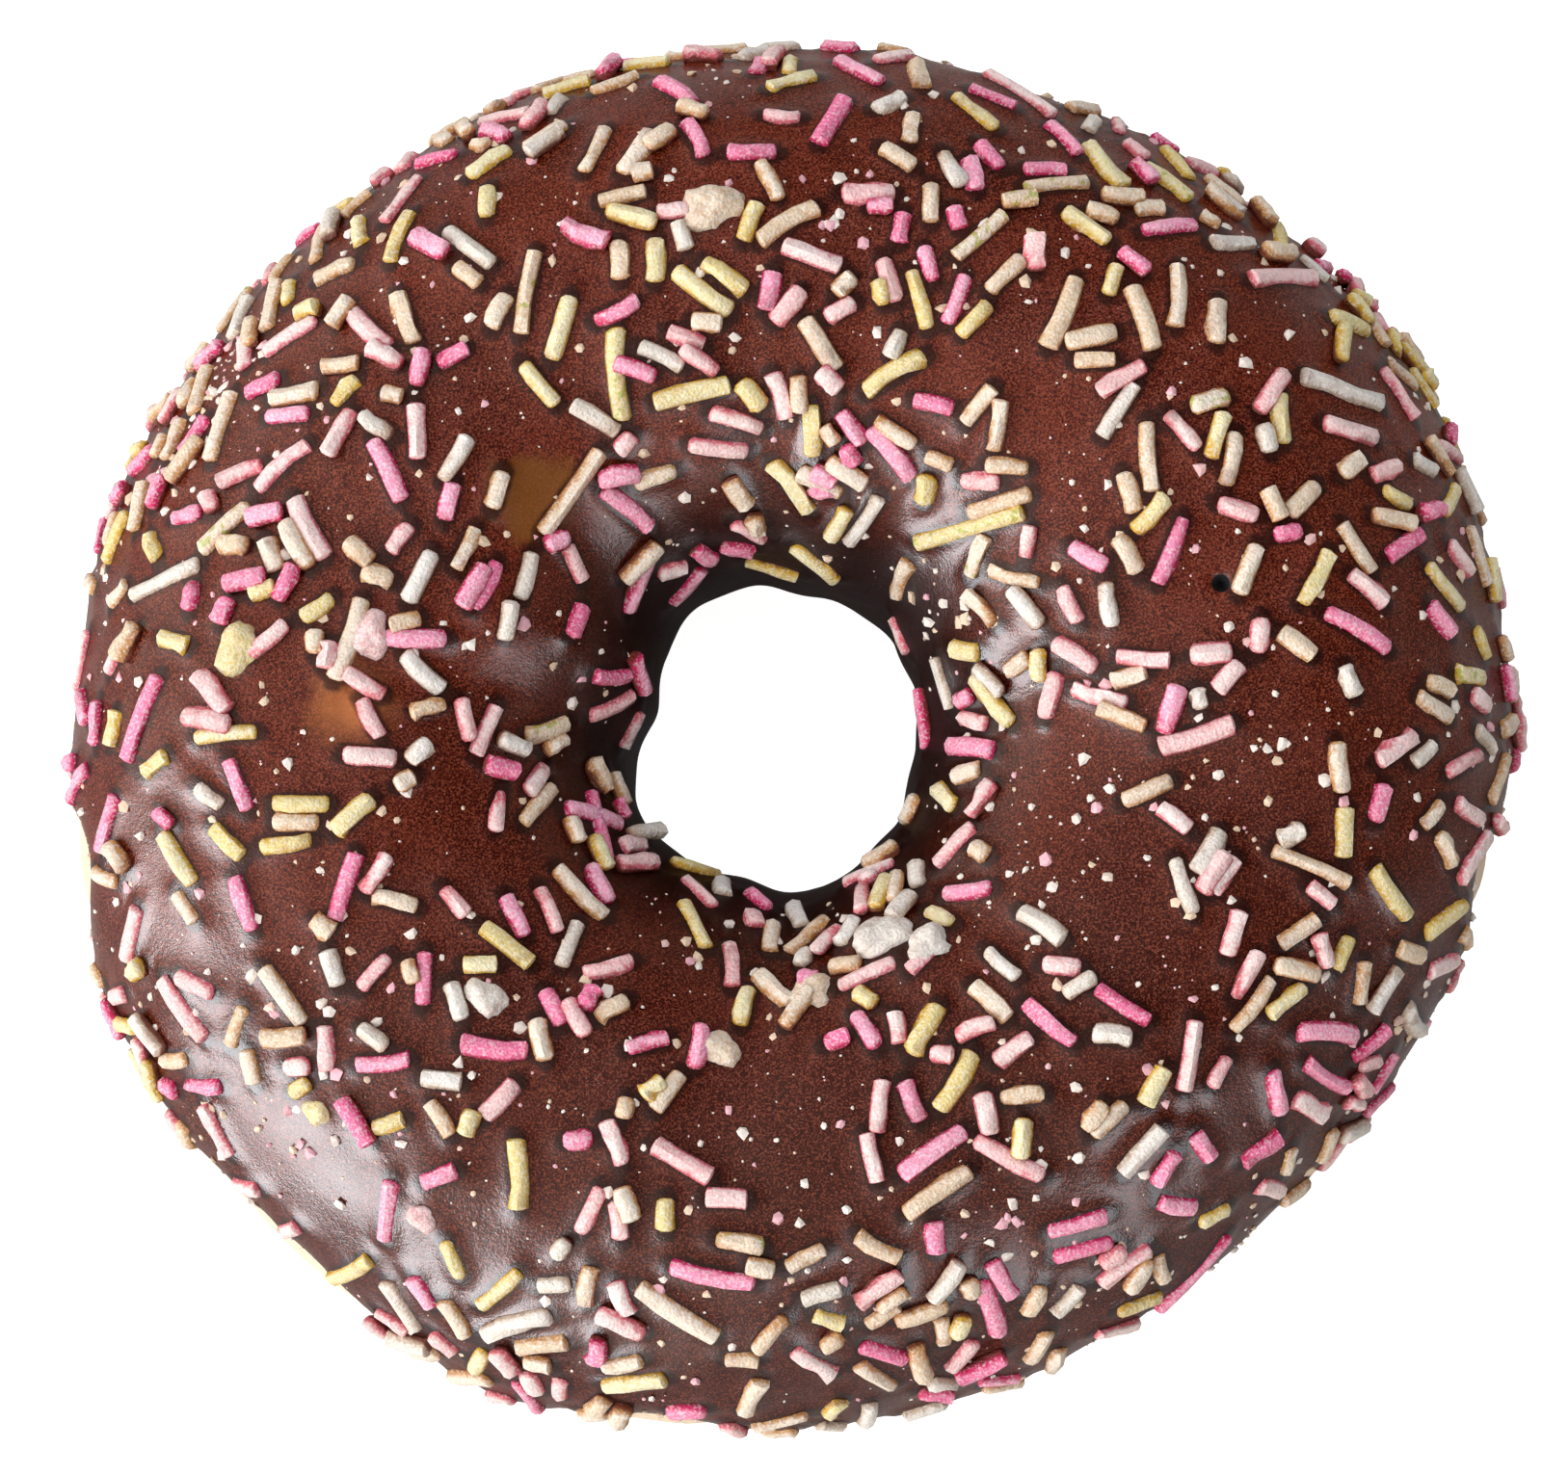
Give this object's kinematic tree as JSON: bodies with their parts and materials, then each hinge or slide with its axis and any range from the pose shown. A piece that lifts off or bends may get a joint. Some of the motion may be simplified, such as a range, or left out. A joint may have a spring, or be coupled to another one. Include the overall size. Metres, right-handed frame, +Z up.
{
  "type": "sprinkle frosted doughnut",
  "caption": "Ring doughnut with dark chocolate icing over its top half, covered in short pastel sugar sprinkles.",
  "frame": {"origin": "middle of the ring, on the surface that the doughnut lies on", "axes": "+Z up, out of the iced side; +X along the longer way across the slightly oval ring"},
  "size_m": [0.0939, 0.0913, 0.0356],
  "materials": {
    "dough": "fried dough: matte golden brown, with a pale band at the waist",
    "icing": "set dark chocolate icing: satin, finely grained",
    "sprinkles": "sugar strands: matte, in light pink, deep pink, cream, yellow and white"
  },
  "bodies": {
    "root": {"dough_ring": "dough", "chocolate_icing": "icing"}
  },
  "joints": []
}
